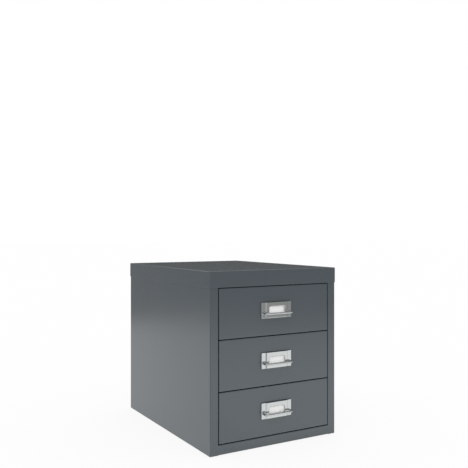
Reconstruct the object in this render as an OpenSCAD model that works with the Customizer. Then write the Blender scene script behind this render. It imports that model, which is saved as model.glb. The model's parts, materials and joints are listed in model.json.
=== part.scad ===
// Desktop multi-drawer cabinet in folded steel sheet, in millimetres.
// The origin is on the floor, under the middle of the whole object, pulls included.
// +X is to the right and +Y to the back, so the drawers open towards -Y.

/* [Cabinet] */
// Overall width, across the lid
cabinet_w = 279; // [250:1:340]
// Overall depth, across the lid
cabinet_d = 380; // [340:1:460]
// Overall height, from the floor to the top of the lid
cabinet_h = 325; // [280:1:420]
// Steel sheet of the case
case_sheet = 0.9; // [0.7:0.1:1.2]
// Inside radius of the case's folds
case_fold_r = 0.6; // [0.5:0.1:1.2]
// Height of the lid's skirt
lid_skirt = 29.3; // [22:0.1:40]
// Gap between the lid's skirt and the case inside it
lid_gap = 0.3; // [0.2:0.05:0.6]
// Visible width of the stiles beside the drawers
stile_w = 16.6; // [12:0.1:22]
// Depth of the stiles' returns into the case
stile_return = 15; // [10:0.5:24]
// Height of the rail below the drawers
bottom_rail = 17.7; // [12:0.1:30]
// Depth of the lip turned down behind the bottom rail
rail_lip = 6; // [4:0.5:10]
// Width of the inward flanges that join the case's panels
case_flange = 12; // [8:0.5:14]

/* [Feet] */
// How far the feet hold the case off the floor
foot_lift = 1; // [0.8:0.1:4]
// Diameter of a foot's pad
foot_d = 16; // [12:0.5:24]
// Diameter of a foot's stem, which snaps into the base
foot_stem_d = 6; // [4:0.5:8]
// How far the head of the stem catches over the hole's edge
foot_barb = 1; // [0.5:0.1:2]
// Height of that head
foot_head_h = 2; // [1:0.1:4]
// How far the pad's side slopes in towards the floor
foot_slope = 0.8; // [0.2:0.1:2]
// Distance from the case's outer faces to a foot's axis
foot_inset = 26; // [16:1:40]

/* [Drawers] */
// Gap around every drawer front
front_gap = 1.3; // [1:0.1:3]
// Depth of the front's returned edges
front_return = 13; // [8:0.5:16]
// Steel sheet of the drawers
drawer_sheet = 0.8; // [0.6:0.1:1]
// Inside radius of the drawers' folds
drawer_fold_r = 0.5; // [0.4:0.1:1.2]
// Distance from the top of a front down to the tray's side flanges
flange_drop = 8; // [7:0.5:16]
// Clear space between the closed drawers and the back panel
rear_space = 20; // [14:1:40]
// Length of the back's side flanges inside the tray
back_flange = 14; // [8:0.5:24]
// Distance from the tray's rim down to the top of its back
back_drop = 3; // [1:0.5:20]

/* [Runners] */
// Clear height inside a runner's channel
channel_h = 7; // [6:0.1:9]
// Reach of a runner's lips towards the drawer
lip_w = 7; // [6:0.1:10]
// Side gap between a drawer and its runners
side_gap = 1.3; // [0.9:0.1:2]
// Running gap between faces that slide
run_gap = 0.3; // [0.2:0.05:0.5]
// Gap between two pieces that meet end to end
end_gap = 0.6; // [0.3:0.1:1]
// Length of the glide at the front of each runner
glide_len = 24.6; // [16:0.1:40]
// Diameter of the peg that holds a glide to its runner
glide_peg_d = 3; // [2:0.1:4]
// Length of the shoe at the rear of each drawer side
shoe_len = 25; // [16:0.5:40]
// Radius of the shoes' and glides' leading edges
shoe_r = 1.2; // [0.5:0.1:1.3]
// Length of the buffer at the rear of each runner
buffer_len = 10; // [6:0.5:13]

/* [Pulls] */
// Width of the card frame
frame_w = 66; // [64:0.5:90]
// Height of the card frame
frame_h = 29; // [26:0.5:40]
// Steel sheet of the card frame
frame_sheet = 0.8; // [0.6:0.1:1]
// Inside radius of the card frame's folds
frame_fold_r = 0.5; // [0.3:0.1:0.8]
// Distance from the middle of the front up to the middle of the card frame
frame_up = 1.3; // [0:0.1:4]
// Depth of the edges returned at both ends, which stand on the drawer front
end_return = 2.7; // [2.4:0.1:3.5]
// Width of the flat flange at each end of the card frame
frame_flange = 8; // [6.5:0.1:10]
// Slope of the joggles between the flanges and the raised middle, in degrees
joggle_angle = 40; // [35:1:60]
// Rise from the flanges to the raised middle
frame_raise = 2; // [1.6:0.1:3]
// Radius of the card frame's outer corners
frame_corner_r = 0.6; // [0.3:0.1:0.7]
// Width of the card that shows in the window
window_w = 34.5; // [26:0.5:36]
// Height of the card that shows in the window
window_h = 13; // [9:0.1:18]
// Radius of the window's corners
window_r = 4; // [2:0.1:4.4]
// Width of the dished rim round the window
window_rim = 1.4; // [1:0.1:3]
// Depth of the dished rim
window_dish = 0.8; // [0.4:0.1:1.1]
// Thickness of the label card
label_sheet = 0.4; // [0.2:0.05:0.5]
// Gap between the label card and the joggles beside it
label_gap = 0.7; // [0.3:0.1:1.5]
// Gap between the dished rim and the label card behind it
label_depth = 1.1; // [0.3:0.1:1.4]
// Distance from the top of the card frame down to the top of the card
label_drop = 1.7; // [0.5:0.1:4]
// Diameter of the pull's rod
rod_d = 4; // [3.5:0.1:6]
// Distance from the drawer front to the front of the pull
pull_reach = 15; // [13:0.5:24]
// Bend radius of the pull, on the rod's centreline
rod_bend_r = 5; // [3:0.1:5.5]
// Distance from the middle of the front down to the pull
rod_drop = 3.9; // [0:0.1:7]
// Diameter of the screws that hold the pull
screw_d = 3; // [2:0.5:3]
// Length of those screws under the head
screw_len = 8; // [6:0.5:8.5]
// Diameter of their heads
screw_head_d = 5.6; // [4.5:0.1:7]
// Height of their heads
screw_head_h = 2; // [1.2:0.1:3]
// Height of the sloped crown on those heads
screw_crown = 0.7; // [0.3:0.1:1]

/* [Hidden] */
$fn = 48;
// Drawers from the top down
drawer_names = ["top", "middle", "bottom"];
drawer_count = len(drawer_names);
drawer_pieces = [
    "tray", "back", "front", "slide_shoes", "card_frame", "label_card", "pull_bow", "pull_screws"
];
case_pieces = [
    "top_lid", "left_side_panel", "right_side_panel", "back_panel", "base_pan", "top_front_rail",
    "left_runner_panel", "right_runner_panel", "runner_glides", "runner_buffers", "rubber_feet"
];
sides = ["left", "right"];

// Finishes
paint = [0.33, 0.36, 0.375];
chrome = [0.80, 0.81, 0.82];
nylon = [0.90, 0.89, 0.85];
rubber = [0.10, 0.10, 0.11];
card = [0.95, 0.95, 0.94];
zinc = [0.70, 0.71, 0.72];

// How far a funnel runs past its ends, and a cut or a fused shape past the face that it meets
lead = 0.2;
past = 1;
// Clearance round a screw in a drilled hole, round its thread, and round a snapped-in stem
hole_gap = 0.2;
thread_gap = 0.05;
stem_gap = 0.1;

// Case planes: the lid's skirt laps outside the case by its sheet and a gap
case_lap = case_sheet + lid_gap;
pull_overhang = pull_reach - case_lap;
lid_front = -(cabinet_d - pull_overhang) / 2;
case_front = lid_front + case_lap;
case_back = lid_front + cabinet_d - case_lap;
case_x = cabinet_w / 2 - case_lap;
inner_x = case_x - case_sheet;
case_bottom = foot_lift;
case_top = cabinet_h - case_sheet;
skirt_bottom = cabinet_h - lid_skirt;
case_fold = case_fold_r + case_sheet;
lid_corner_r = case_fold + case_lap;
back_inner = case_back - 2 * case_sheet;

// The opening between the stiles, and the fronts that fill it
opening_x = case_x - stile_w;
opening_bottom = case_bottom + bottom_rail;
front_w = 2 * (opening_x - front_gap);
front_h = (skirt_bottom - opening_bottom - (drawer_count + 1) * front_gap) / drawer_count;
front_pitch = front_h + front_gap;
front_fold = drawer_fold_r + drawer_sheet;
function front_bottom(i) = opening_bottom + front_gap + (drawer_count - 1 - i) * front_pitch;
function front_middle(i) = front_bottom(i) + front_h / 2;

// Trays hang in the runners by their side flanges
tray_front = case_front + front_fold;
tray_rear = back_inner - rear_space;
tray_x = opening_x - lip_w - side_gap;
flange_x = opening_x - side_gap;
shoe_x = opening_x - side_gap / 2;
flange_front = case_front + front_return + end_gap;
function tray_bottom(i) = front_bottom(i) + drawer_sheet;
function flange_top(i) = front_bottom(i) + front_h - flange_drop;
function channel_middle(i) = flange_top(i) - drawer_sheet / 2;

// Runners, and what sits in their channels clear of the folds
runner_front = case_front + max(stile_return, front_return) + end_gap;
runner_rear = tray_rear + run_gap + buffer_len;
channel_in = opening_x - lip_w;
channel_out = opening_x - case_fold_r;
liner_flange = stile_w - 2 * case_sheet - case_fold - end_gap;

// Card frame: the rise and run of a joggle follow from its angle and folds, each drawn in small steps
fold_steps = 6;
joggle_fold = 2 * frame_fold_r + frame_sheet;
joggle_flat = (frame_raise - joggle_fold * (1 - cos(joggle_angle))) / sin(joggle_angle);
joggle_run = joggle_fold * sin(joggle_angle) + joggle_flat * cos(joggle_angle);
raised_w = frame_w - 2 * (frame_flange + joggle_run);
flange_back = end_return - frame_sheet;
middle_back = flange_back + frame_raise;
middle_face = middle_back + frame_sheet;
rod_x = (frame_w - frame_flange) / 2;
rod_y = pull_reach - rod_d / 2;
tapped_depth = screw_len - drawer_sheet - end_return + run_gap;

// Extrusions of a profile along one axis, between two planes
module along_x(from, to) {
    translate([from, 0, 0]) rotate([90, 0, 90]) linear_extrude(to - from) children();
}

module along_y(from, to) {
    translate([0, to, 0]) rotate([90, 0, 0]) linear_extrude(to - from) children();
}

module along_z(from, to) {
    translate([0, 0, from]) linear_extrude(to - from) children();
}

module both_sides() {
    children();
    mirror([1, 0, 0]) children();
}

// One fold of a sheet, as a sector of a ring; a positive angle turns left
module fold(angle, sheet, r) {
    outer = r + sheet;
    turn = abs(angle);
    wedge = [for (k = [0:2]) 2 * outer * [cos(k * turn / 2), sin(k * turn / 2)]];
    translate([0, angle > 0 ? outer : -r])
        intersection() {
            difference() {
                circle(outer);
                circle(r);
            }
            rotate(angle > 0 ? -90 : 90 - turn) polygon(concat([[0, 0]], wedge));
        }
}

// Section of a folded sheet: flats joined by folds, starting along +X with the sheet to its left
module folded(flats, angles, sheet, r, step = 0) {
    square([flats[step], sheet]);
    if (step < len(angles)) {
        centre = angles[step] > 0 ? sheet + r : -r;
        translate([flats[step], 0]) {
            fold(angles[step], sheet, r);
            translate([0, centre]) rotate(angles[step]) translate([0, -centre])
                folded(flats, angles, sheet, r, step + 1);
        }
    }
}

// Rectangle about the origin, with all its corners round
module rounded(w, h, r) {
    square([w - 2 * r, h], center = true);
    square([w, h - 2 * r], center = true);
    for (x = [-1, 1])
        for (y = [-1, 1])
            translate([x * (w / 2 - r), y * (h / 2 - r)]) circle(r);
}

// Rectangle centred on X that runs up from Y = 0, with its two lower corners round
module round_footed(w, h, r) {
    translate([-w / 2, r]) square([w, h - r]);
    translate([r - w / 2, 0]) square([w - 2 * r, h]);
    for (x = [-1, 1])
        translate([x * (w / 2 - r), r]) circle(r);
}

// Block with the four edges of its face at Y = 0 round, w along X, h along Z and d along Y
module pan_form(w, h, d, r) {
    intersection() {
        linear_extrude(h, center = true) round_footed(w, d, r);
        rotate([0, 90, 0]) linear_extrude(w, center = true) round_footed(h, d, r);
    }
}

// Open-backed pan of sheet, its face at Y = 0
module pan(w, h, d, sheet, r) {
    difference() {
        pan_form(w, h, d, r);
        translate([0, sheet, 0]) pan_form(w - 2 * sheet, h - 2 * sheet, d, r - sheet);
    }
}

// Block in the lid's form, its top at Z = 0, with round top edges and round upright corners
module lid_form(w, d, edge_r, corner_r) {
    intersection() {
        rotate([-90, 0, 0]) pan_form(w, d, lid_skirt, edge_r);
        along_z(-lid_skirt, 0) rounded(w, d, corner_r);
    }
}

// Lid: a pan turned face down over the case
module top_lid() {
    walls = 2 * case_sheet;
    color(paint)
        translate([0, lid_front + cabinet_d / 2, cabinet_h])
            difference() {
                lid_form(cabinet_w, cabinet_d, case_fold, lid_corner_r);
                translate([0, 0, -case_sheet])
                    lid_form(cabinet_w - walls, cabinet_d - walls, case_fold_r, lid_corner_r - case_sheet);
            }
}

// Side panel, drawn for the left: stile return, stile, side and rear flange folded from one sheet.
// Below the opening the return is notched away, so that the stile butts against the bottom rail.
module side_panel() {
    depth = case_back - case_front - 2 * case_fold;
    rear = case_flange - case_fold;
    beside_opening = [stile_return - case_fold, stile_w - 2 * case_fold, depth, rear];
    beside_rail = [stile_w - case_fold, depth, rear];
    color(paint) {
        along_z(opening_bottom, case_top - case_fold)
            translate([-opening_x - case_sheet, case_front + stile_return])
                rotate(-90) folded(beside_opening, [-90, -90, -90], case_sheet, case_fold_r);
        along_z(case_bottom, opening_bottom)
            translate([-opening_x, case_front + case_sheet])
                rotate(180) folded(beside_rail, [-90, -90], case_sheet, case_fold_r);
        along_y(case_front + case_fold + end_gap, back_inner - end_gap)
            translate([-inner_x, case_top - 2 * case_fold])
                rotate(90) folded([case_fold, case_flange - case_fold], [-90], case_sheet, case_fold_r);
    }
}

// Back panel, welded inside the sides' rear flanges and folded forward under the lid
module back_panel() {
    half_w = inner_x - case_fold_r;
    color(paint) {
        along_y(back_inner, back_inner + case_sheet)
            translate([-half_w, case_bottom]) square([2 * half_w, case_top - case_fold - case_bottom]);
        along_x(case_flange + end_gap - inner_x, inner_x - case_flange - end_gap)
            translate([back_inner + case_sheet, case_top - 2 * case_fold])
                rotate(90) folded([case_fold, case_flange - case_fold], [90], case_sheet, case_fold_r);
    }
}

// Base: floor, rear upstand and front rail from one sheet, with wings welded to the sides
module base_pan() {
    section = [
        case_flange - case_fold,
        back_inner - case_front - 2 * case_fold,
        bottom_rail - 2 * case_fold,
        case_flange - 2 * case_fold,
        rail_lip - case_fold
    ];
    color(paint)
        difference() {
            union() {
                along_x(-opening_x, opening_x)
                    translate([back_inner - case_sheet, case_bottom + case_flange])
                        rotate(-90) folded(section, [-90, -90, -90, -90], case_sheet, case_fold_r);
                both_sides()
                    along_y(case_front + case_fold, back_inner)
                        translate([opening_x - past, case_bottom])
                            folded(
                                [inner_x - opening_x + past - case_fold, case_flange - case_fold],
                                [90], case_sheet, case_fold_r
                            );
            }
            at_feet()
                cylinder(h = 2 * (foot_lift + case_sheet), d = foot_stem_d + 2 * stem_gap, center = true);
        }
}

// Rail that ties the stiles together behind the lid's skirt
module top_front_rail() {
    section = [
        case_flange - case_fold,
        case_top - skirt_bottom - end_gap - 2 * case_fold,
        case_flange - case_fold
    ];
    color(paint)
        along_x(run_gap - opening_x, opening_x - run_gap)
            translate([case_front + case_flange, skirt_bottom + end_gap + case_sheet])
                rotate(180) folded(section, [-90, -90], case_sheet, case_fold_r);
}

// Inner side that carries the runners, drawn for the left: lapped on the stile's return, welded to the back
module runner_panel() {
    front = case_front + case_fold + end_gap;
    section = [back_inner - front - case_fold, liner_flange - case_fold];
    color(paint)
        along_z(case_bottom + case_sheet, case_top - case_sheet - end_gap)
            translate([-opening_x - case_sheet, front])
                rotate(90) folded(section, [90], case_sheet, case_fold_r);
}

// Runner, drawn for the left: a channel that takes a tray's side flange
module runner(i) {
    color(paint)
        difference() {
            along_y(runner_front, runner_rear)
                translate([-channel_in, channel_middle(i) + channel_h / 2 + case_sheet])
                    rotate(180)
                        folded(
                            [lip_w - case_fold_r, channel_h - 2 * case_fold_r, lip_w - case_fold_r],
                            [90, 90], case_sheet, case_fold_r
                        );
            at_glide_peg(i) cylinder(h = 2 * channel_h, d = glide_peg_d + 2 * stem_gap, center = true);
        }
}

// Places a glide's peg on the lower lip of the left runner
module at_glide_peg(i) {
    lip_middle = (channel_in + channel_out) / 2;
    translate([-lip_middle, runner_front + glide_len / 2, channel_middle(i) - channel_h / 2]) children();
}

// Nylon glide at the front of a runner, drawn for the left: the flange rides on it, the shoe stops on it
module glide(i) {
    bottom = channel_middle(i) - channel_h / 2;
    top = flange_top(i) - drawer_sheet - run_gap;
    color(nylon) {
        along_x(-channel_out, -channel_in - run_gap)
            translate([runner_front + glide_len / 2, top])
                mirror([0, 1]) round_footed(glide_len, top - bottom, shoe_r);
        at_glide_peg(i)
            translate([0, 0, -2 * case_sheet]) cylinder(h = 2 * case_sheet + past, d = glide_peg_d);
    }
}

module runner_glides() {
    for (i = [0:drawer_count - 1])
        both_sides() glide(i);
}

// Rubber buffer in the rear end of each runner, which the shoe meets when the drawer shuts
module runner_buffers() {
    color(rubber)
        for (i = [0:drawer_count - 1])
            both_sides()
                translate([-channel_out, tray_rear + run_gap, channel_middle(i) - channel_h / 2])
                    cube([channel_out - channel_in, buffer_len, channel_h]);
}

module at_feet() {
    for (x = [-1, 1])
        for (y = [case_front + foot_inset, case_back - foot_inset])
            translate([x * (case_x - foot_inset), y, foot_lift]) children();
}

// Rubber foot: a pad under the base, and a stem with a head that snaps above it
module rubber_feet() {
    head_d = foot_stem_d + 2 * foot_barb;
    color(rubber)
        at_feet() {
            translate([0, 0, -foot_lift]) cylinder(h = foot_lift, d1 = foot_d - 2 * foot_slope, d2 = foot_d);
            cylinder(h = case_sheet, d = foot_stem_d);
            translate([0, 0, case_sheet]) cylinder(h = foot_head_h, d1 = head_d, d2 = foot_stem_d);
        }
}

// Tray: floor and sides from one sheet, with side flanges behind the front's returned edges
module drawer_tray(i) {
    rim = flange_top(i) - front_fold;
    wall = rim - tray_bottom(i) - front_fold;
    floor_flat = 2 * (tray_x - front_fold);
    flange = flange_x - tray_x - drawer_fold_r;
    color(paint) {
        along_y(tray_front, tray_rear)
            translate([-tray_x, rim])
                rotate(-90) folded([wall, floor_flat, wall], [90, 90], drawer_sheet, drawer_fold_r);
        along_y(flange_front, tray_rear)
            both_sides()
                translate([-flange_x, flange_top(i) - drawer_sheet])
                    folded([flange, front_fold], [-90], drawer_sheet, drawer_fold_r);
    }
}

// Back of a tray, with flanges welded inside its sides
module drawer_back(i) {
    inside = tray_x - drawer_sheet;
    section = [back_flange - front_fold, 2 * (inside - front_fold), back_flange - front_fold];
    color(paint)
        along_z(tray_bottom(i) + front_fold, flange_top(i) - back_drop)
            translate([drawer_sheet - inside, tray_rear - back_flange])
                rotate(90) folded(section, [-90, -90], drawer_sheet, drawer_fold_r);
}

// Drawer front: a pan with two holes for the pull's screws
module drawer_front(i) {
    color(paint)
        translate([0, case_front, front_middle(i)])
            difference() {
                pan(front_w, front_h, front_return, drawer_sheet, front_fold);
                at_pull_ends() screw_hole(drawer_sheet);
            }
}

// Nylon shoes on the rear ends of a tray's flanges, which run in the channels
module slide_shoes(i) {
    height = channel_h - 2 * run_gap;
    color(nylon)
        both_sides()
            difference() {
                along_x(-shoe_x, -channel_in - run_gap)
                    translate([tray_rear - shoe_len / 2, channel_middle(i)])
                        rounded(shoe_len, height, shoe_r);
                translate([-flange_x, tray_rear - shoe_len - past, flange_top(i) - drawer_sheet])
                    cube([lip_w, shoe_len + 2 * past, drawer_sheet]);
            }
}

// Places the pull's two ends on a drawer front, from the middle of its face
module at_pull_ends() {
    for (x = [-rod_x, rod_x])
        translate([x, 0, -rod_drop]) children();
}

// Cylinder along Y, from the face at Y = 0 forwards by length
module forward(length, d) {
    rotate([90, 0, 0]) cylinder(h = length, d = d);
}

module screw_hole(sheet) {
    translate([0, sheet + past, 0]) forward(sheet + 2 * past, screw_d + 2 * hole_gap);
}

// Funnel that narrows to the window's outline, from a face at some reach in front of the drawer.
// It runs a little past both of its ends, so that it cuts and fuses cleanly.
module window_funnel(face) {
    corner_x = window_w / 2 - window_r;
    corner_z = window_h / 2 - window_r;
    ends = [-lead, window_dish + lead];
    reach = [for (end = ends) end - window_dish + face];
    grow = [for (end = ends) window_rim * end / window_dish];
    half_w = [for (g = grow) window_w / 2 + g];
    half_h = [for (g = grow) window_h / 2 + g];
    for (x = [-corner_x, corner_x])
        for (z = [-corner_z, corner_z])
            translate([x, -reach[0], z])
                rotate([90, 0, 0])
                    cylinder(h = reach[1] - reach[0], r1 = window_r + grow[0], r2 = window_r + grow[1]);
    along_x(-corner_x, corner_x)
        polygon([
            [-reach[0], -half_h[0]], [-reach[1], -half_h[1]], [-reach[1], half_h[1]], [-reach[0], half_h[0]]
        ]);
    along_z(-corner_z, corner_z)
        polygon([
            [-half_w[0], -reach[0]], [-half_w[1], -reach[1]], [half_w[1], -reach[1]], [half_w[0], -reach[0]]
        ]);
}

// Points on an arc, from one angle to another
function arc(centre, r, from, to) = [
    for (k = [0:fold_steps])
        let (a = from + (to - from) * k / fold_steps) centre + r * [cos(a), sin(a)]
];

// Left half of one face of the card frame, from the foot of its returned end to the raised middle.
// Each face has its own foot and its own radius at the three folds: of the end, of the flange, of the middle.
function joggled(foot_x, end_r, flange_r, middle_r) = concat(
    [[foot_x, 0]],
    arc([frame_sheet + frame_fold_r - frame_w / 2, flange_back - frame_fold_r], end_r, 180, 90),
    arc([frame_flange - frame_w / 2, end_return + frame_fold_r], flange_r, -90, joggle_angle - 90),
    arc([-raised_w / 2, middle_back - frame_fold_r], middle_r, joggle_angle + 90, 90)
);

function across(points) = [for (p = points) [-p.x, p.y]];
function backwards(points) = [for (k = [len(points) - 1:-1:0]) points[k]];

// Section of the card frame: returned ends, flanges, joggles and the raised middle, with its face forwards
module joggled_section() {
    outer_r = frame_fold_r + frame_sheet;
    rear = joggled(frame_sheet - frame_w / 2, frame_fold_r, outer_r, frame_fold_r);
    face = joggled(-frame_w / 2, outer_r, frame_fold_r, outer_r);
    mirror([0, 1]) polygon(concat(rear, backwards(across(rear)), across(face), backwards(face)));
}

// Card frame before its window is cut, with a lip under the card
module card_frame_blank() {
    intersection() {
        along_z(-frame_h, frame_h) joggled_section();
        along_y(-pull_reach, past) rounded(frame_w, frame_h, frame_corner_r);
    }
    translate([-raised_w / 2, -middle_back - frame_sheet / 2, -frame_h / 2])
        cube([raised_w, middle_back + frame_sheet / 2, frame_sheet]);
}

// Card frame with its dished window and the holes for the pull's screws
module card_frame(i) {
    color(chrome)
        translate([0, case_front, front_middle(i)])
            difference() {
                translate([0, 0, frame_up])
                    difference() {
                        union() {
                            card_frame_blank();
                            window_funnel(middle_back);
                        }
                        window_funnel(middle_face);
                        along_y(-pull_reach, 0) rounded(window_w, window_h, window_r);
                    }
                at_pull_ends() translate([0, -end_return, 0]) screw_hole(frame_sheet);
            }
}

// Label card, standing on the card frame's lip behind its window
module label_card(i) {
    width = raised_w - 2 * label_gap;
    height = frame_h - frame_sheet - label_drop;
    reach = middle_back - window_dish - label_depth;
    bottom = front_middle(i) + frame_up - frame_h / 2 + frame_sheet;
    color(card)
        translate([-width / 2, case_front - reach, bottom]) cube([width, label_sheet, height]);
}

// Pull: a rod bent into a bow, tapped at both ends
module pull_bow(i) {
    arm = rod_y - rod_bend_r - end_return;
    color(chrome)
        translate([0, case_front, front_middle(i) - rod_drop])
            difference() {
                union() {
                    both_sides() {
                        translate([rod_x, -end_return, 0]) forward(arm, rod_d);
                        translate([rod_x - rod_bend_r, rod_bend_r - rod_y, 0])
                            rotate(-90)
                                rotate_extrude(angle = 90) translate([rod_bend_r, 0]) circle(d = rod_d);
                    }
                    translate([rod_bend_r - rod_x, -rod_y, 0])
                        rotate([0, 90, 0]) cylinder(h = 2 * (rod_x - rod_bend_r), d = rod_d);
                }
                both_sides()
                    translate([rod_x, 0, 0]) forward(end_return + tapped_depth, screw_d + 2 * thread_gap);
            }
}

// Screws from inside the drawer into the ends of the pull
module pull_screws(i) {
    color(zinc)
        translate([0, case_front + drawer_sheet, front_middle(i)])
            at_pull_ends() {
                forward(screw_len, screw_d);
                rotate([-90, 0, 0]) {
                    cylinder(h = screw_head_h - screw_crown, d = screw_head_d);
                    translate([0, 0, screw_head_h - screw_crown])
                        cylinder(h = screw_crown, d1 = screw_head_d, d2 = screw_head_d - 2 * screw_crown);
                }
            }
}

top_lid();
side_panel();  // left_side_panel
mirror([1, 0, 0]) side_panel();  // right_side_panel
back_panel();
base_pan();
top_front_rail();
runner_panel();  // left_runner_panel
mirror([1, 0, 0]) runner_panel();  // right_runner_panel
runner_glides();
runner_buffers();
rubber_feet();
for (i = [0:drawer_count - 1]) {
    drawer = str(drawer_names[i], "_drawer_");
    runner(i);
    mirror([1, 0, 0]) runner(i);
    drawer_tray(i);
    drawer_back(i);
    drawer_front(i);
    slide_shoes(i);
    card_frame(i);
    label_card(i);
    pull_bow(i);
    pull_screws(i);
}
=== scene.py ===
import json
import math

import bmesh
import bpy
from mathutils import Matrix, Vector


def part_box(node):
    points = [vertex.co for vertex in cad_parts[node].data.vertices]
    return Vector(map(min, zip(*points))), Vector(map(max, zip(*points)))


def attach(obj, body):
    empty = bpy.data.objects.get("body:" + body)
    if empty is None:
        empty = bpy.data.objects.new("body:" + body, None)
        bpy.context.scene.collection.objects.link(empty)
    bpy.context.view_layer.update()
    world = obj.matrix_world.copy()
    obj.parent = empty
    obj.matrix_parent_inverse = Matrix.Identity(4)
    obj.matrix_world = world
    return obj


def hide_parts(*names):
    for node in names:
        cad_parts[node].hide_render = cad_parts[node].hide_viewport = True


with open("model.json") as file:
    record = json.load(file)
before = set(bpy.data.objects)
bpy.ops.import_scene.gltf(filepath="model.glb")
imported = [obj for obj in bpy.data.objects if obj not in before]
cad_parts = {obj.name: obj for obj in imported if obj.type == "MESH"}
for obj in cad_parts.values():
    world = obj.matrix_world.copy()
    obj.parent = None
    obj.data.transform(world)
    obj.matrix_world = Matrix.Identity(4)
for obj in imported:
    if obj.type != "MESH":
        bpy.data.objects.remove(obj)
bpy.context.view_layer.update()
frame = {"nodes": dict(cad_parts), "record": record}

mm = 0.001  # metres
mergeGap = 0.0005 * mm  # points closer than this become one
white = (1, 1, 1, 1)
drawerNames = ["top", "middle", "bottom"]
bodyOf = {
    node: body
    for body, members in frame["record"]["behaviour"]["bodies"].items()
    for node in members
}


# The camera stands left of the cabinet, a little above its lid, and looks level.
cameraView = {
    "place": (-0.6719, -1.1777, 0.3904),  # metres
    "turn": 30.304,  # degrees to the right of straight at the front
    "focal": 647.5,  # pixels
    "frameWidth": 468,  # pixels
    "sensor": 36.0,  # mm
}


def setCamera(view):
    data = bpy.data.cameras.new("camera")
    data.sensor_width = view["sensor"]
    data.lens = view["sensor"] * view["focal"] / view["frameWidth"]
    camera = bpy.data.objects.new("camera", data)
    camera.location = view["place"]
    camera.rotation_euler = (math.radians(90), 0, math.radians(-view["turn"]))
    bpy.context.scene.collection.objects.link(camera)
    bpy.context.scene.camera = camera


setCamera(cameraView)
bpy.context.scene.view_settings.view_transform = "Standard"
print("camera set")


# Turns an sRGB hex colour to linear by the standard's own curve.
def toLinear(hexColour):
    parts = [int(hexColour[k:k + 2], 16) / 255 for k in (1, 3, 5)]
    return [c / 12.92 if c <= 0.04045 else ((c + 0.055) / 1.055) ** 2.4 for c in parts] + [1]


# Adds a node: settings are properties or input values by name or number,
# links lead sockets into its inputs.
def addNode(tree, kind, settings=None, links=None):
    node = tree.nodes.new(kind)
    for key, value in (settings or {}).items():
        if isinstance(key, str) and hasattr(node, key):
            setattr(node, key, value)
        else:
            node.inputs[key].default_value = value
    for key, source in (links or {}).items():
        tree.links.new(source, node.inputs[key])
    return node


# A material whose constant values sit on the shader's own sockets.
def newMaterial(name, constants):
    material = bpy.data.materials.new(name)
    material.use_nodes = True
    tree = material.node_tree
    shader = tree.nodes["Principled BSDF"]
    for key, value in constants.items():
        shader.inputs[key].default_value = value
    return material, tree, shader


# The scale of a noise whose patches have a size in mm.
def waves(sizeMm):
    return 1 / (sizeMm * mm)


powderCoat = {
    "colours": ("#444D53", "#414A50"),
    "roughness": (0.2, 0.26),
    "ior": 1.75,
    "drift": 80,  # mm, slow change of shade over a panel
    "peel": 1.8,  # mm, crest to crest
    "peelHeight": 0.02,  # mm
    "grain": 0.4,  # mm, specks of powder, coarser than real ones so that they show
}


# Powder coat on steel, sprayed dry and baked: a satin skin with a fine orange peel
# that softens reflections.
def makePowderCoat(coat):
    material, tree, shader = newMaterial("powderCoatedSteel", {"IOR": coat["ior"]})
    place = addNode(tree, "ShaderNodeTexCoord").outputs["Object"]
    drift = addNode(
        tree, "ShaderNodeTexNoise", {"Scale": waves(coat["drift"]), "Detail": 3}, {"Vector": place}
    )
    tint = addNode(tree, "ShaderNodeValToRGB", {}, {"Fac": drift.outputs["Fac"]})
    for element, colour in zip(tint.color_ramp.elements, coat["colours"]):
        element.color = toLinear(colour)
    grain = addNode(
        tree, "ShaderNodeTexNoise", {"Scale": waves(coat["grain"]), "Detail": 1}, {"Vector": place}
    )
    low, high = coat["roughness"]
    gloss = addNode(
        tree, "ShaderNodeMapRange", {"To Min": low, "To Max": high}, {"Value": grain.outputs["Fac"]}
    )
    peel = addNode(
        tree, "ShaderNodeTexNoise", {"Scale": waves(coat["peel"]), "Detail": 1}, {"Vector": place}
    )
    bump = addNode(
        tree, "ShaderNodeBump", {"Strength": 1, "Distance": coat["peelHeight"] * mm},
        {"Height": peel.outputs["Fac"]},
    )
    tree.links.new(tint.outputs["Color"], shader.inputs["Base Color"])
    tree.links.new(gloss.outputs["Result"], shader.inputs["Roughness"])
    tree.links.new(bump.outputs["Normal"], shader.inputs["Normal"])
    return material


chromePlate = {
    "colour": "#CFD2D2",
    "roughness": (0.05, 0.11),
    "haze": 5,  # mm, patches where the polish is a little duller
    "ripple": 9,  # mm, waviness of the pressing under the plating
    "rippleHeight": 0.004,  # mm
}


# Bright chrome over nickel on pressed steel: a mirror that is slightly wavy,
# as the sheet under it is.
def makeChrome(plate):
    material, tree, shader = newMaterial(
        "chromePlatedSteel", {"Base Color": toLinear(plate["colour"]), "Metallic": 1}
    )
    place = addNode(tree, "ShaderNodeTexCoord").outputs["Object"]
    haze = addNode(
        tree, "ShaderNodeTexNoise", {"Scale": waves(plate["haze"]), "Detail": 4}, {"Vector": place}
    )
    low, high = plate["roughness"]
    gloss = addNode(
        tree, "ShaderNodeMapRange", {"To Min": low, "To Max": high}, {"Value": haze.outputs["Fac"]}
    )
    ripple = addNode(
        tree, "ShaderNodeTexNoise", {"Scale": waves(plate["ripple"]), "Detail": 0}, {"Vector": place}
    )
    bump = addNode(
        tree, "ShaderNodeBump", {"Strength": 1, "Distance": plate["rippleHeight"] * mm},
        {"Height": ripple.outputs["Fac"]},
    )
    tree.links.new(gloss.outputs["Result"], shader.inputs["Roughness"])
    tree.links.new(bump.outputs["Normal"], shader.inputs["Normal"])
    return material


cardStock = {
    "colours": ("#F6F6F5", "#FAFAF9"),
    "roughness": 0.75,
    "fibre": (0.5, 0.12),  # mm, length and width of fibres, coarser than real ones so that they show
    "fibreHeight": 0.01,  # mm
}


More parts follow.
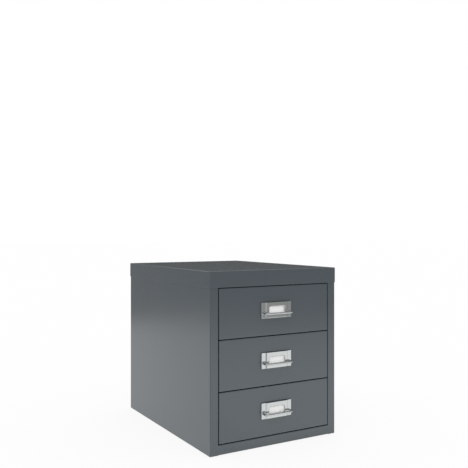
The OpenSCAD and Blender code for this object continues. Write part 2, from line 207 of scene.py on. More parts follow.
# Uncoated white card, calendered: matt, with faint fibres along its length.
def makeCard(stock):
    material, tree, shader = newMaterial("labelCard", {"Roughness": stock["roughness"]})
    place = addNode(tree, "ShaderNodeTexCoord").outputs["Object"]
    length, width = stock["fibre"]
    stretch = addNode(
        tree, "ShaderNodeMapping", {"Scale": (waves(length), waves(width), waves(width))},
        {"Vector": place},
    )
    fibre = addNode(
        tree, "ShaderNodeTexNoise", {"Scale": 1, "Detail": 3}, {"Vector": stretch.outputs["Vector"]}
    )
    tint = addNode(tree, "ShaderNodeValToRGB", {}, {"Fac": fibre.outputs["Fac"]})
    for element, colour in zip(tint.color_ramp.elements, stock["colours"]):
        element.color = toLinear(colour)
    bump = addNode(
        tree, "ShaderNodeBump", {"Strength": 1, "Distance": stock["fibreHeight"] * mm},
        {"Height": fibre.outputs["Fac"]},
    )
    tree.links.new(tint.outputs["Color"], shader.inputs["Base Color"])
    tree.links.new(bump.outputs["Normal"], shader.inputs["Normal"])
    return material


nylonMoulding = {
    "colours": ("#DAD6CA", "#E6E3D9"),
    "roughness": (0.38, 0.5),
    "ior": 1.53,
    "scatter": 0.15,
    "scatterReach": (1, 0.9, 0.7),  # of red, green and blue
    "scatterRadius": 1.2,  # mm
    "flow": 6,  # mm, milky patches from the mould
    "spark": 0.5,  # mm, the mould's spark-eroded texture, coarser than real so that it shows
    "sparkHeight": 0.01,  # mm
}


# Natural nylon, injection moulded: milky and a little translucent, with a dull moulded skin.
def makeNylon(moulding):
    material, tree, shader = newMaterial("naturalNylon", {
        "IOR": moulding["ior"],
        "Subsurface Weight": moulding["scatter"],
        "Subsurface Radius": moulding["scatterReach"],
        "Subsurface Scale": moulding["scatterRadius"] * mm,
    })
    place = addNode(tree, "ShaderNodeTexCoord").outputs["Object"]
    flow = addNode(
        tree, "ShaderNodeTexNoise", {"Scale": waves(moulding["flow"]), "Detail": 2}, {"Vector": place}
    )
    tint = addNode(tree, "ShaderNodeValToRGB", {}, {"Fac": flow.outputs["Fac"]})
    for element, colour in zip(tint.color_ramp.elements, moulding["colours"]):
        element.color = toLinear(colour)
    spark = addNode(
        tree, "ShaderNodeTexNoise", {"Scale": waves(moulding["spark"]), "Detail": 2},
        {"Vector": place},
    )
    low, high = moulding["roughness"]
    gloss = addNode(
        tree, "ShaderNodeMapRange", {"To Min": low, "To Max": high}, {"Value": spark.outputs["Fac"]}
    )
    bump = addNode(
        tree, "ShaderNodeBump", {"Strength": 1, "Distance": moulding["sparkHeight"] * mm},
        {"Height": spark.outputs["Fac"]},
    )
    tree.links.new(tint.outputs["Color"], shader.inputs["Base Color"])
    tree.links.new(gloss.outputs["Result"], shader.inputs["Roughness"])
    tree.links.new(bump.outputs["Normal"], shader.inputs["Normal"])
    return material


rubberMoulding = {
    "colours": ("#19191A", "#232324"),
    "roughness": (0.6, 0.8),
    "ior": 1.52,
    "bloom": 4,  # mm, greyish bloom on the rubber
    "grit": 0.6,  # mm
    "gritHeight": 0.02,  # mm
}


# Black rubber, compression moulded: dull, with a slight grey bloom and a gritty skin.
def makeRubber(moulding):
    material, tree, shader = newMaterial("mouldedRubber", {"IOR": moulding["ior"]})
    place = addNode(tree, "ShaderNodeTexCoord").outputs["Object"]
    bloom = addNode(
        tree, "ShaderNodeTexNoise", {"Scale": waves(moulding["bloom"]), "Detail": 4},
        {"Vector": place},
    )
    tint = addNode(tree, "ShaderNodeValToRGB", {}, {"Fac": bloom.outputs["Fac"]})
    for element, colour in zip(tint.color_ramp.elements, moulding["colours"]):
        element.color = toLinear(colour)
    low, high = moulding["roughness"]
    gloss = addNode(
        tree, "ShaderNodeMapRange", {"To Min": low, "To Max": high}, {"Value": bloom.outputs["Fac"]}
    )
    grit = addNode(
        tree, "ShaderNodeTexNoise", {"Scale": waves(moulding["grit"]), "Detail": 3}, {"Vector": place}
    )
    bump = addNode(
        tree, "ShaderNodeBump", {"Strength": 1, "Distance": moulding["gritHeight"] * mm},
        {"Height": grit.outputs["Fac"]},
    )
    tree.links.new(tint.outputs["Color"], shader.inputs["Base Color"])
    tree.links.new(gloss.outputs["Result"], shader.inputs["Roughness"])
    tree.links.new(bump.outputs["Normal"], shader.inputs["Normal"])
    return material


zincPlate = {
    "colours": ("#B4BAC0", "#C6C8C4"),
    "roughness": (0.28, 0.45),
    "spangle": 1.5,  # mm, patches in the passivation
}


# Zinc-plated steel, clear passivated: a greyish metal with faint blue and yellow patches.
def makeZinc(plate):
    material, tree, shader = newMaterial("zincPlatedSteel", {"Metallic": 1})
    place = addNode(tree, "ShaderNodeTexCoord").outputs["Object"]
    spangle = addNode(
        tree, "ShaderNodeTexNoise", {"Scale": waves(plate["spangle"]), "Detail": 3},
        {"Vector": place},
    )
    tint = addNode(tree, "ShaderNodeValToRGB", {}, {"Fac": spangle.outputs["Fac"]})
    for element, colour in zip(tint.color_ramp.elements, plate["colours"]):
        element.color = toLinear(colour)
    low, high = plate["roughness"]
    gloss = addNode(
        tree, "ShaderNodeMapRange", {"To Min": low, "To Max": high},
        {"Value": spangle.outputs["Fac"]},
    )
    tree.links.new(tint.outputs["Color"], shader.inputs["Base Color"])
    tree.links.new(gloss.outputs["Result"], shader.inputs["Roughness"])
    return material


paint = makePowderCoat(powderCoat)
chrome = makeChrome(chromePlate)
card = makeCard(cardStock)
nylon = makeNylon(nylonMoulding)
rubber = makeRubber(rubberMoulding)
zinc = makeZinc(zincPlate)
print("materials made")


# Makes an object of one material from a mesh in the making.
def linkMesh(name, bm, material):
    mesh = bpy.data.meshes.new(name)
    bm.to_mesh(mesh)
    bm.free()
    mesh.materials.clear()  # faces copied from the frame go back to the first slot
    mesh.materials.append(material)
    item = bpy.data.objects.new(name, mesh)
    bpy.context.scene.collection.objects.link(item)
    return item


studio = {
    "sky": 1.0,  # level of the white dome
    "floor": "#F8F8F8",
    "floorSize": 60,  # metres
    "floorDrop": 0.1,  # mm under the feet, so that the two never share a plane
    "floorGlow": 0.88,  # how far the floor is washed out to white where it is seen
    # Boards stand in a ring, and a mat lies on the floor with its axis ahead of the middle.
    # Turn is in degrees clockwise from behind. Low and high give each edge's distance from the
    # axis and its height, in metres. Fade is the share of the breadth over which the mat thins
    # out at its sides and its low edge.
    "boards": {
        "boardBehind": {"turn": (-5, 85), "low": (1.7, 0), "high": (1.7, 1), "grey": "#575655"},
        "boardLeft": {"turn": (-95, -5), "low": (1.7, 0), "high": (1.7, 1), "grey": "#A4A4A4"},
        "boardFront": {"turn": (85, 190), "low": (1.7, 0), "high": (1.7, 1), "grey": "#A0A0A0"},
        "boardCamera": {"turn": (190, 265), "low": (1.7, 0), "high": (1.7, 1), "grey": "#BEBEBE"},
        "boardAbove": {"turn": (85, 265), "low": (1.7, 1), "high": (1.5, 2.2), "grey": "#8C8C8C"},
        "matCamera": {
            "turn": (180, 275), "low": (0, 0.001), "high": (1.65, 0.001), "grey": "#B6B6B6",
            "ahead": 0.2, "fade": 0.4,
        },
    },
    "boardSteps": 24,
    "bounce": {
        "size": (0.4, 0.5),  # metres
        "gap": 0.01,  # metres in front of the drawers
        "lift": 0.005,  # metres above the floor
        "power": 0.2,  # watts
    },
}


# One where the camera, a reflection or a transmitted ray looks, nought where light is gathered.
def addSeen(tree):
    path = addNode(tree, "ShaderNodeLightPath")
    direct = addNode(
        tree, "ShaderNodeMath", {"operation": "MAXIMUM"},
        {0: path.outputs["Is Camera Ray"], 1: path.outputs["Is Glossy Ray"]},
    )
    through = addNode(
        tree, "ShaderNodeMath", {"operation": "MAXIMUM"},
        {0: direct.outputs["Value"], 1: path.outputs["Is Transmission Ray"]},
    )
    return through.outputs["Value"]


# Matt painted floor, washed out to white where it is seen, but for the object's shadow.
def makeFloor(values):
    material, tree, shader = newMaterial("paintedFloor", {
        "Base Color": toLinear(values["floor"]),
        "Roughness": 1,
        "Specular IOR Level": 0,
    })
    glow = addNode(tree, "ShaderNodeEmission", {"Color": white, "Strength": 1})
    amount = addNode(
        tree, "ShaderNodeMapRange", {"To Min": 0, "To Max": values["floorGlow"]},
        {"Value": addSeen(tree)},
    )
    mix = addNode(
        tree, "ShaderNodeMixShader", {},
        {0: amount.outputs["Result"], 1: shader.outputs["BSDF"], 2: glow.outputs["Emission"]},
    )
    tree.links.new(mix.outputs["Shader"], tree.nodes["Material Output"].inputs["Surface"])
    bm = bmesh.new()
    bmesh.ops.create_grid(bm, x_segments=1, y_segments=1, size=values["floorSize"] / 2)
    floor = linkMesh("floor", bm, material)
    floor.location.z = -values["floorDrop"] * mm


# A grey board or mat, seen only in reflections: satin and chrome need something to mirror.
def makeBoard(name, values, steps):
    start, end = values["turn"]
    ahead, fade = values.get("ahead", 0), values.get("fade", 0)
    bm = bmesh.new()
    cover = bm.verts.layers.float.new("cover")
    columns = []
    for k in range(steps + 1):
        across = k / steps
        a = math.radians(start + (end - start) * across)
        column = []
        for n in range(steps + 1):
            up = n / steps
            reach, z = (low + (high - low) * up for low, high in zip(values["low"], values["high"]))
            vert = bm.verts.new((reach * math.sin(a), reach * math.cos(a) - ahead, z))
            vert[cover] = min(1, min(across, 1 - across, up) / fade) if fade else 1
            column.append(vert)
        columns.append(column)
    for left, right in zip(columns, columns[1:]):
        for n in range(steps):
            bm.faces.new((left[n], right[n], right[n + 1], left[n + 1]))
    material, tree, shader = newMaterial(name, {})
    tree.nodes.remove(shader)
    glow = addNode(tree, "ShaderNodeEmission", {"Color": toLinear(values["grey"]), "Strength": 1})
    clear = addNode(tree, "ShaderNodeBsdfTransparent")
    amount = addNode(tree, "ShaderNodeAttribute", {"attribute_name": "cover"})
    mix = addNode(
        tree, "ShaderNodeMixShader", {},
        {0: amount.outputs["Fac"], 1: clear.outputs["BSDF"], 2: glow.outputs["Emission"]},
    )
    tree.links.new(mix.outputs["Shader"], tree.nodes["Material Output"].inputs["Surface"])
    board = linkMesh(name, bm, material)
    board.visible_camera = False
    board.visible_diffuse = False
    board.visible_shadow = False


# A white dome that lights the set, and is plain white where it is seen.
def makeSky(values):
    world = bpy.data.worlds.new("studio")
    bpy.context.scene.world = world
    world.use_nodes = True
    tree = world.node_tree
    tree.nodes.clear()
    light = addNode(tree, "ShaderNodeBackground", {"Color": white, "Strength": values["sky"]})
    backdrop = addNode(tree, "ShaderNodeBackground", {"Color": white, "Strength": 1})
    mix = addNode(
        tree, "ShaderNodeMixShader", {},
        {0: addSeen(tree), 1: light.outputs["Background"], 2: backdrop.outputs["Background"]},
    )
    addNode(tree, "ShaderNodeOutputWorld", {}, {"Surface": mix.outputs["Shader"]})


# A soft lamp lying on the floor like a bounce card, which lifts the lower drawers a little.
def makeBounce(values):
    data = bpy.data.lights.new("bounceCard", "AREA")
    data.shape = "RECTANGLE"
    data.size, data.size_y = values["size"]
    data.energy = values["power"]
    lamp = bpy.data.objects.new("bounceCard", data)
    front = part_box("top_drawer_front")[0].y
    lamp.location = (0, front - values["gap"] - data.size_y / 2, values["lift"])
    lamp.rotation_euler = (math.radians(180), 0, 0)  # shines upwards
    lamp.visible_camera = False
    lamp.visible_glossy = False
    bpy.context.scene.collection.objects.link(lamp)


makeFloor(studio)
makeSky(studio)
makeBounce(studio["bounce"])
for boardName, board in studio["boards"].items():
    makeBoard(boardName, board, studio["boardSteps"])
print("studio set")


# Links a mesh as a piece that stands for a node: it rides on the node's body, and the node is hidden.
def addPiece(name, bm, material, node, sharpAngle=40, closed=True):
    if closed:
        bmesh.ops.recalc_face_normals(bm, faces=bm.faces)
    piece = linkMesh(name, bm, material)
    piece.data.shade_smooth()
    piece.data.set_sharp_from_angle(angle=math.radians(sharpAngle))
    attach(piece, bodyOf[node])
    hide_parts(node)
    return piece


# Rounds a piece's sharp edges and keeps its flats flat in the shading.
def breakEdges(piece, widthMm, segments=2, angle=40):
    if widthMm:
        bevel = piece.modifiers.new("brokenEdges", "BEVEL")
        bevel.width = widthMm * mm
        bevel.segments = segments
        bevel.limit_method = "ANGLE"
        bevel.angle_limit = math.radians(angle)
    normals = piece.modifiers.new("flatShading", "WEIGHTED_NORMAL")
    normals.keep_sharp = True
    normals.weight = 100  # the largest faces win


# Points of a rectangle with round corners, anticlockwise.
def roundedLoop(halfWidth, halfHeight, radius, steps):
    points = []
    for sideX, sideY, start in ((1, 1, 0), (-1, 1, 90), (-1, -1, 180), (1, -1, 270)):
        for k in range(steps + 1):
            a = math.radians(start + 90 * k / steps)
            points.append((
                sideX * (halfWidth - radius) + radius * math.cos(a),
                sideY * (halfHeight - radius) + radius * math.sin(a),
            ))
    return points


# Joins two rings of points by a ring of faces.
def joinRings(bm, near, far):
    for k in range(len(near)):
        n = (k + 1) % len(near)
        bm.faces.new((near[k], near[n], far[n], far[k]))


# Makes loops of points and joins each to the next.
def loft(bm, loops):
    rows = [[bm.verts.new(point) for point in loop] for loop in loops]
    for near, far in zip(rows, rows[1:]):
        joinRings(bm, near, far)
    return rows


# Angles of a fold, given in degrees, in radians.
def sweep(start, end, steps):
    return [math.radians(start + (end - start) * k / steps) for k in range(steps + 1)]


# Points of a circle, anticlockwise.
def circleLoop(x, y, radius, around):
    return [
        (x + radius * math.cos(t), y + radius * math.sin(t))
        for t in (2 * math.pi * k / around for k in range(around))
    ]


# Turns a profile of radius and height, in mm, about the third axis of place.
def lathe(bm, profile, around, place):
    return loft(bm, [
        [place @ (Vector((x, y, height)) * mm) for x, y in circleLoop(0, 0, radius, around)]
        for radius, height in profile
    ])


# Fills the flat between rings of points.
def fillBetween(bm, rings):
    edges = []
    for ring in rings:
        for near, far in zip(ring, ring[1:] + ring[:1]):
            edges.append(bm.edges.get((near, far)) or bm.edges.new((near, far)))
    bmesh.ops.triangle_fill(bm, edges=edges, use_beauty=True)


# An open pan of sheet with round folds: its face lies in the first two axes of place, its walls
# run along the third. Holes are places on the face, each drilled through the sheet.
def makePan(width, height, depth, pan, place, holes=()):
    sheet, fold, corner, rim = (pan[key] * mm for key in ("sheet", "fold", "corner", "rim"))
    inner = fold - sheet
    outerFold, innerFold = sweep(0, 90, pan["steps"]), sweep(90, 0, pan["steps"])
    edge = sweep(0, 90, pan["rimSteps"])
    profile = [(fold * (1 - math.sin(a)), fold * (1 - math.cos(a))) for a in outerFold]
    profile += [(rim * (1 - math.cos(a)), depth - rim * (1 - math.sin(a))) for a in edge]
    profile += [(sheet - rim * (1 - math.sin(a)), depth - rim * (1 - math.cos(a))) for a in edge]
    profile += [
        (sheet + inner * (1 - math.sin(a)), sheet + inner * (1 - math.cos(a))) for a in innerFold
    ]
    loops = []
    for inset, down in profile:
        outline = roundedLoop(width / 2 - inset, height / 2 - inset, corner - inset, pan["steps"])
        loops.append([place @ Vector((x, y, down)) for x, y in outline])
    bm = bmesh.new()
    rows = loft(bm, loops)
    if not holes:
        bm.faces.new(rows[0])
        bm.faces.new(rows[-1])
        return bm
    inset = fold + pan["border"] * mm  # a flat border keeps the folds' shading apart from the fill
    outlines = [roundedLoop(width / 2 - inset, height / 2 - inset, corner - fold, pan["steps"])]
    outlines += [circleLoop(x, y, pan["hole"] / 2 * mm, pan["holeSteps"]) for x, y in holes]
    bores = []
    for row, down in ((rows[0], 0), (rows[-1], sheet)):
        rings = [
            [bm.verts.new(place @ Vector((x, y, down))) for x, y in outline] for outline in outlines
        ]
        joinRings(bm, row, rings[0])
        fillBetween(bm, rings)
        bores.append(rings[1:])
    for near, far in zip(*bores):
        joinRings(bm, near, far)
    return bm


lid = {
    "sheet": 0.9,  # mm
    "fold": 1.5,  # mm, outside radius of the top edges
    "corner": 2.7,  # mm, outside radius of the upright corners
    "rim": 0.3,  # mm, rounding of the skirt's lower edge
    "steps": 8,
    "rimSteps": 3,
}


# Lid: a pressed cap, open below.
def makeLid(values):
    low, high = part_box("top_lid")
    size = high - low
    centre = (low + high) / 2
    place = Matrix(((1, 0, 0, centre.x), (0, 1, 0, centre.y), (0, 0, -1, high.z), (0, 0, 0, 1)))
    bm = makePan(size.x, size.y, size.z, values, place)
    breakEdges(addPiece("top_lid_pressing", bm, paint, "top_lid"), 0)


makeLid(lid)
print("lid made")

drawerFront = {
    "sheet": 0.8,  # mm
    "fold": 1.3,  # mm, outside radius of the folds
    "corner": 1.6,  # mm
    "rim": 0.25,  # mm
    "steps": 8,
    "rimSteps": 3,
    "hole": 3.4,  # mm, for the pull's screws
    "holeSteps": 32,
    "border": 3,  # mm, flat inside the folds
}


# The middles of a pull's two ends: how far along X and up they stand, in metres.
def pullEnds(drawer):
    low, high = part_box(drawer + "_drawer_pull_bow")
    rod = high.z - low.z
    return [(x, (low.z + high.z) / 2) for x in (low.x + rod / 2, high.x - rod / 2)]


# Drawer front: a pan that opens to the rear, drilled for the pull's screws.
def makeDrawerFront(drawer, values):
    node = drawer + "_drawer_front"
    low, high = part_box(node)
    size = high - low
    centre = (low + high) / 2
    place = Matrix(((1, 0, 0, centre.x), (0, 0, 1, low.y), (0, 1, 0, centre.z), (0, 0, 0, 1)))
    holes = [(x - centre.x, z - centre.z) for x, z in pullEnds(drawer)]
    bm = makePan(size.x, size.z, size.y, values, place, holes)
    breakEdges(addPiece(node + "_pressing", bm, paint, node), 0)


for drawer in drawerNames:
    makeDrawerFront(drawer, drawerFront)
print("drawer fronts made")

sheetWork = {
    "edge": 0.15,  # mm, sheared edges rounded by the paint
    "nodes": [
        "left_side_panel", "right_side_panel", "back_panel", "base_pan", "top_front_rail",
        "left_runner_panel", "right_runner_panel",
    ]
    + [side + "_" + drawer + "_runner" for side in ("left", "right") for drawer in drawerNames]
    + [drawer + "_drawer_" + part for drawer in drawerNames for part in ("tray", "back")],
}
mouldings = {
    "edge": 0.3,  # mm
    "nylonNodes": ["runner_glides"] + [drawer + "_drawer_slide_shoes" for drawer in drawerNames],
    "rubberNodes": ["runner_buffers"],
}
deburring = {
    "merge": 0.001,  # mm, points closer than this become one
    "flat": 0.2,  # degrees, faces that bend less become one
}


# A copy of a node's mesh with its flats merged and its sharp edges rounded.
def makeDeburred(node, ending, material, edge, values):
    bm = bmesh.new()
    bm.from_mesh(frame["nodes"][node].data)
    bmesh.ops.remove_doubles(bm, verts=bm.verts, dist=values["merge"] * mm)
    bmesh.ops.dissolve_limit(
        bm, angle_limit=math.radians(values["flat"]), verts=bm.verts, edges=bm.edges
    )
    breakEdges(addPiece(node + "_" + ending, bm, material, node), edge)


for node in sheetWork["nodes"]:
    makeDeburred(node, "sheet", paint, sheetWork["edge"], deburring)
for node in mouldings["nylonNodes"]:
    makeDeburred(node, "moulding", nylon, mouldings["edge"], deburring)
for node in mouldings["rubberNodes"]:
    makeDeburred(node, "moulding", rubber, mouldings["edge"], deburring)
print("sheet work and mouldings made")

rubberFoot = {  # mm
    "pad": (14.4, 16, 1),  # lower and upper diameter, height
    "stem": (6, 0.9),  # diameter, and length through the base
    "barb": (8, 6, 2),  # lower and upper diameter, height
    "edge": 0.2,
    "edgeSteps": 3,
    "around": 48,
}


# Feet: a tapered pad under the base, and a barbed stem snapped through it.
def makeRubberFeet(values):
    low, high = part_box("rubber_feet")
    padLow, padHigh, padTall = values["pad"]
    stem, stemLong = values["stem"]
    barbLow, barbHigh, barbTall = values["barb"]
    barbSeat = padTall + stemLong
    barbTop = barbSeat + barbTall
    profile = [
        (0, 0), (padLow / 2, 0), (padHigh / 2, padTall), (stem / 2, padTall),
        (stem / 2, barbSeat), (barbLow / 2, barbSeat), (barbHigh / 2, barbTop), (0, barbTop),
    ]
    reach = padHigh / 2 * mm
    bm = bmesh.new()
    for x in (low.x + reach, high.x - reach):
        for y in (low.y + reach, high.y - reach):
            lathe(bm, profile, values["around"], Matrix.Translation((x, y, low.z)))
    bmesh.ops.remove_doubles(bm, verts=bm.verts, dist=mergeGap)
    piece = addPiece("rubber_feet_mouldings", bm, rubber, "rubber_feet")
    breakEdges(piece, values["edge"], values["edgeSteps"])


makeRubberFeet(rubberFoot)
print("feet made")


# Turns a width, a height and a distance forwards, in mm about a point on a drawer front,
# into a place.
def onFront(origin, x, up, forward):
    return Vector((origin.x + x * mm, origin.y - forward * mm, origin.z + up * mm))


# The middle of a node's box on the face of its drawer front.
def frontMiddle(node, drawer):
    low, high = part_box(node)
    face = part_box(drawer + "_drawer_front")[0].y
    return Vector(((low.x + high.x) / 2, face, (low.z + high.z) / 2))


cardFrame = {  # mm and degrees
    "width": 66,
    "height": 29,
    "sheet": 0.8,
    "fold": 0.5,  # inside radius
    "end": 2.7,  # depth of the returned ends
    "standOff": 0.03,  # from the drawer front to the ends and the lip
    "flange": 8,
    "slope": 40,  # of the joggles
    "rise": 2,  # from the flanges to the middle
    "corner": 0.6,
    "window": (34.5, 13, 4),  # width, height and corner radius
    "rim": 1.4,  # width of the rolled edge round the window
    "dish": 0.8,  # depth of that edge
    "coined": 0.5,  # share of the sheet that is left at the window
    "lipFold": 0.95,  # outside radius of the tight fold along the lip
    "hole": 3.4,  # for the pull's screws
    "notch": (0.7, 1.2),  # width and height of the relief beside the lip
    "edge": 0.12,
    "edgeAngle": 50,  # edges that turn more are rounded
    "sharp": 30,  # edges that turn more are shaded as edges
    "steps": 6,
    "holeSteps": 32,
}


# One half of the face's section, from the raised middle out to the foot of the returned end.
def frameSection(values):
    fold, end, flange = values["fold"], values["end"], values["flange"]
    outer = fold + values["sheet"]
    slope = values["slope"]
    lift = end + values["rise"]
    a = math.radians(slope)
    bend = fold + outer
    flat = (values["rise"] - bend * (1 - math.cos(a))) / math.sin(a)
    run = bend * math.sin(a) + flat * math.cos(a)
    half = values["width"] / 2
    inner = half - flange - run
    steps = values["steps"]
    points = [
        (inner + outer * math.cos(t), lift - outer * (1 - math.sin(t)))
        for t in sweep(90, 90 - slope, steps)
    ]
    points += [
        (half - flange + fold * math.cos(t), end + fold * (1 + math.sin(t)))
        for t in sweep(-90 - slope, -90, steps)
    ]
    points += [
        (half - outer * (1 - math.cos(t)), end - outer * (1 - math.sin(t)))
        for t in sweep(90, 0, steps)
    ]
    points.append((half, values["standOff"]))
    return points


# Card frame: the face as one pressed skin, then given its sheet. The lip folds back under the card.
def makeCardFrame(drawer, values):
    node = drawer + "_drawer_card_frame"
    origin = frontMiddle(node, drawer)
    section = frameSection(values)
    inner, lift = section[0]
    half, tall = values["width"] / 2, values["height"] / 2
    corner, lipFold = values["corner"], values["lipFold"]
    notchWide, notchHigh = values["notch"]
    lipHalf = inner - notchWide
    bm = bmesh.new()
    sheetLeft = bm.verts.layers.deform.verify()

    # Rolled rim round the window
    wide, high, radius = values["window"]
    loops = []
    for t in sweep(0, 90, values["steps"]):
        out = values["rim"] * (1 - math.sin(t))
        back = values["dish"] * (1 - math.cos(t))
        outline = roundedLoop(wide / 2 + out, high / 2 + out, radius + out, values["steps"])
        loops.append([onFront(origin, x, up, lift - back) for x, up in outline])
    rims = loft(bm, loops)

    # Joggle, flange and returned end on each side, with a screw's hole in the flange
    flange = 2 * values["steps"] + 1  # the section's point where the flat begins
    holes = {}
    for side, (x, z) in zip((-1, 1), pullEnds(drawer)):
        middle = ((x - origin.x) / mm, (z - origin.z) / mm)
        outline = circleLoop(*middle, values["hole"] / 2, values["holeSteps"])
        holes[side] = [
            bm.verts.new(onFront(origin, across, up, values["end"])) for across, up in outline
        ]
    columns = {}
    for side in (-1, 1):
        rows = []
        for x, forward in section:
            short = corner - (half - x)
            cut = corner - math.sqrt(corner ** 2 - short ** 2) if short > 0 else 0
            heights = (cut - tall, notchHigh - tall, tall - cut)
            rows.append([bm.verts.new(onFront(origin, side * x, up, forward)) for up in heights])
        for near, far in zip(rows, rows[1:]):
            bm.faces.new((near[0], far[0], far[1], near[1]))
            outline = [near[1], far[1], far[2], near[2]]
            if near is rows[flange]:
                fillBetween(bm, (outline, holes[side]))
            else:
                bm.faces.new(outline)
        columns[side] = rows[0]

    # Lip, folded back along the lower edge of the middle
    lip = [
        (lipFold * (1 - math.sin(t)) - tall, lift - lipFold * (1 - math.cos(t)))
        for t in sweep(0, 90, values["steps"])
    ]
    lip.append((-tall, values["standOff"]))
    lipRows = [
        [bm.verts.new(onFront(origin, side * lipHalf, up, forward)) for side in (-1, 1)]
        for up, forward in lip
    ]
    for near, far in zip(lipRows, lipRows[1:]):
        bm.faces.new((near[0], near[1], far[1], far[0]))

    # Flat middle between the rim, the joggles and the lip
    shoulders = {
        side: bm.verts.new(onFront(origin, side * lipHalf, notchHigh - tall, lift))
        for side in (-1, 1)
    }
    border = [
        columns[-1][2], columns[-1][1], shoulders[-1], lipRows[0][0],
        lipRows[0][1], shoulders[1], columns[1][1], columns[1][2],
    ]
    fillBetween(bm, (border, rims[0]))
    bmesh.ops.recalc_face_normals(bm, faces=bm.faces)
    face = max(bm.faces, key=lambda face: face.calc_area() * abs(face.normal.y))
    if face.normal.y > 0:
        bmesh.ops.reverse_faces(bm, faces=bm.faces)

    # The sheet behind the skin, thinned towards the window
    for vert in bm.verts:
        vert[sheetLeft][0] = 1
    for k, row in enumerate(rims):
        for vert in row:
            vert[sheetLeft][0] = 1 - (1 - values["coined"]) * k / values["steps"]
    piece = addPiece(node + "_plate", bm, chrome, node, values["sharp"], closed=False)
    sheet = piece.modifiers.new("sheet", "SOLIDIFY")
    sheet.vertex_group = piece.vertex_groups.new(name="sheetLeft").name
    sheet.thickness = values["sheet"] * mm
    sheet.offset = -1
    sheet.use_even_offset = True
    breakEdges(piece, values["edge"], angle=values["edgeAngle"])


pullBow = {  # mm and degrees
    "rod": 4,
    "bend": 5,  # on the rod's middle line
    "bore": 3.1,
    "boreDepth": 4.8,
    "ease": 0.2,  # chamfer round the rod's feet
    "sharp": 35,  # edges that turn more are shaded as edges
    "bendSteps": 12,
    "around": 32,
}


# Pull: rings of points carried along the bow's middle line, with a bored foot at each end.
def makePullBow(drawer, values):
    node = drawer + "_drawer_pull_bow"
    origin = frontMiddle(node, drawer)
    low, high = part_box(node)
    rod, bend, bore = values["rod"] / 2, values["bend"], values["bore"] / 2
    reachX = (high.x - low.x) / mm / 2 - rod
    foot = (origin.y - high.y) / mm
    boreEnd = foot + values["boreDepth"]
    ease = values["ease"]
    reach = (origin.y - low.y) / mm - rod
    stations = [  # place along X, place forwards, turn in degrees, radius
        (-reachX, boreEnd, 0, 0), (-reachX, boreEnd, 0, bore), (-reachX, foot, 0, bore),
        (-reachX, foot, 0, rod - ease), (-reachX, foot + ease, 0, rod),
    ]
    stations += [
        (bend - reachX - bend * math.cos(t), reach - bend * (1 - math.sin(t)), math.degrees(t), rod)
        for t in sweep(0, 90, values["bendSteps"])
    ]
    stations += [(-x, forward, 180 - turn, radius) for x, forward, turn, radius in reversed(stations)]
    bm = bmesh.new()
    loops = []
    for x, forward, turn, radius in stations:
        a = math.radians(turn)
        loops.append([
            onFront(origin, x - across * math.cos(a), up, forward + across * math.sin(a))
            for across, up in circleLoop(0, 0, radius, values["around"])
        ])
    loft(bm, loops)
    bmesh.ops.remove_doubles(bm, verts=bm.verts, dist=mergeGap)
    breakEdges(addPiece(node + "_rod", bm, chrome, node, values["sharp"]), 0)


pullScrew = {  # mm and degrees
    "shank": 3,
    "length": 8,  # under the head
    "tip": 0.4,  # chamfer at the end of the shank
    "head": (5.6, 2),  # diameter and height
    "crown": 0.7,  # rounding of the pan head
    "cross": (1.5, 0.32),  # half length and half width of the recess's arms
    "crossFloor": (0.6, 0.2),
    "crossDepth": 1.1,
    "sharp": 35,  # edges that turn more are shaded as edges
    "crownSteps": 6,
    "around": 40,
}


# Points of a cross, anticlockwise.
def crossLoop(reach, half):
    points = []
    for quarter in range(4):
        a = quarter * math.pi / 2
        c, s = round(math.cos(a)), round(math.sin(a))
        arm = ((reach, -half), (reach, half), (half, half))
        points += [(x * c - y * s, x * s + y * c) for x, y in arm]
    return points


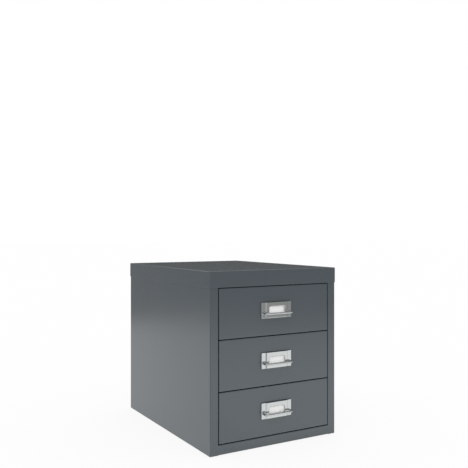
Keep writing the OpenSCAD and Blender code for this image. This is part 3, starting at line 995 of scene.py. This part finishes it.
# Screws: turned pan heads with a cross recess, seen from inside the drawer, and shanks
# in the pull's feet.
def makePullScrews(drawer, values):
    node = drawer + "_drawer_pull_screws"
    low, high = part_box(node)
    headWide, headTall = values["head"]
    shank, head, crown = values["shank"] / 2, headWide / 2, values["crown"]
    length, tip = values["length"], values["tip"]
    spread = (high.x - low.x) / 2 - head * mm
    profile = [(0, -length), (shank - tip, -length), (shank, tip - length), (shank, 0), (head, 0)]
    profile += [
        (head - crown * (1 - math.cos(t)), headTall - crown * (1 - math.sin(t)))
        for t in sweep(0, 90, values["crownSteps"])
    ]
    recessLoops = (
        (values["cross"], headTall), (values["crossFloor"], headTall - values["crossDepth"]),
    )
    bm = bmesh.new()
    for side in (-1, 1):
        x = (low.x + high.x) / 2 + side * spread
        y = high.y - headTall * mm
        z = (low.z + high.z) / 2
        place = Matrix(((1, 0, 0, x), (0, 0, 1, y), (0, 1, 0, z), (0, 0, 0, 1)))
        crest = lathe(bm, profile, values["around"], place)[-1]
        recess = loft(bm, [
            [place @ (Vector((*point, depth)) * mm) for point in crossLoop(*size)]
            for size, depth in recessLoops
        ])
        bm.faces.new(recess[1])
        fillBetween(bm, (crest, recess[0]))
    bmesh.ops.remove_doubles(bm, verts=bm.verts, dist=mergeGap)
    breakEdges(addPiece(node + "_pair", bm, zinc, node, values["sharp"]), 0)


labelSlip = {
    "corner": 0.6,  # mm
    "edge": 0.06,  # mm
    "steps": 4,
}


# Label card: a cut slip with round corners.
def makeLabelSlip(drawer, values):
    node = drawer + "_drawer_label_card"
    low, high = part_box(node)
    centre = (low + high) / 2
    size = high - low
    outline = roundedLoop(size.x / 2 / mm, size.z / 2 / mm, values["corner"], values["steps"])
    place = Vector((centre.x, high.y, centre.z))
    bm = bmesh.new()
    rows = loft(bm, [
        [onFront(place, x, up, forward) for x, up in outline] for forward in (0, size.y / mm)
    ])
    for row in rows:
        bm.faces.new(row)
    breakEdges(addPiece(node + "_slip", bm, card, node), values["edge"])


for drawer in drawerNames:
    makeCardFrame(drawer, cardFrame)
    makePullBow(drawer, pullBow)
    makeLabelSlip(drawer, labelSlip)
    makePullScrews(drawer, pullScrew)
print("pulls made")
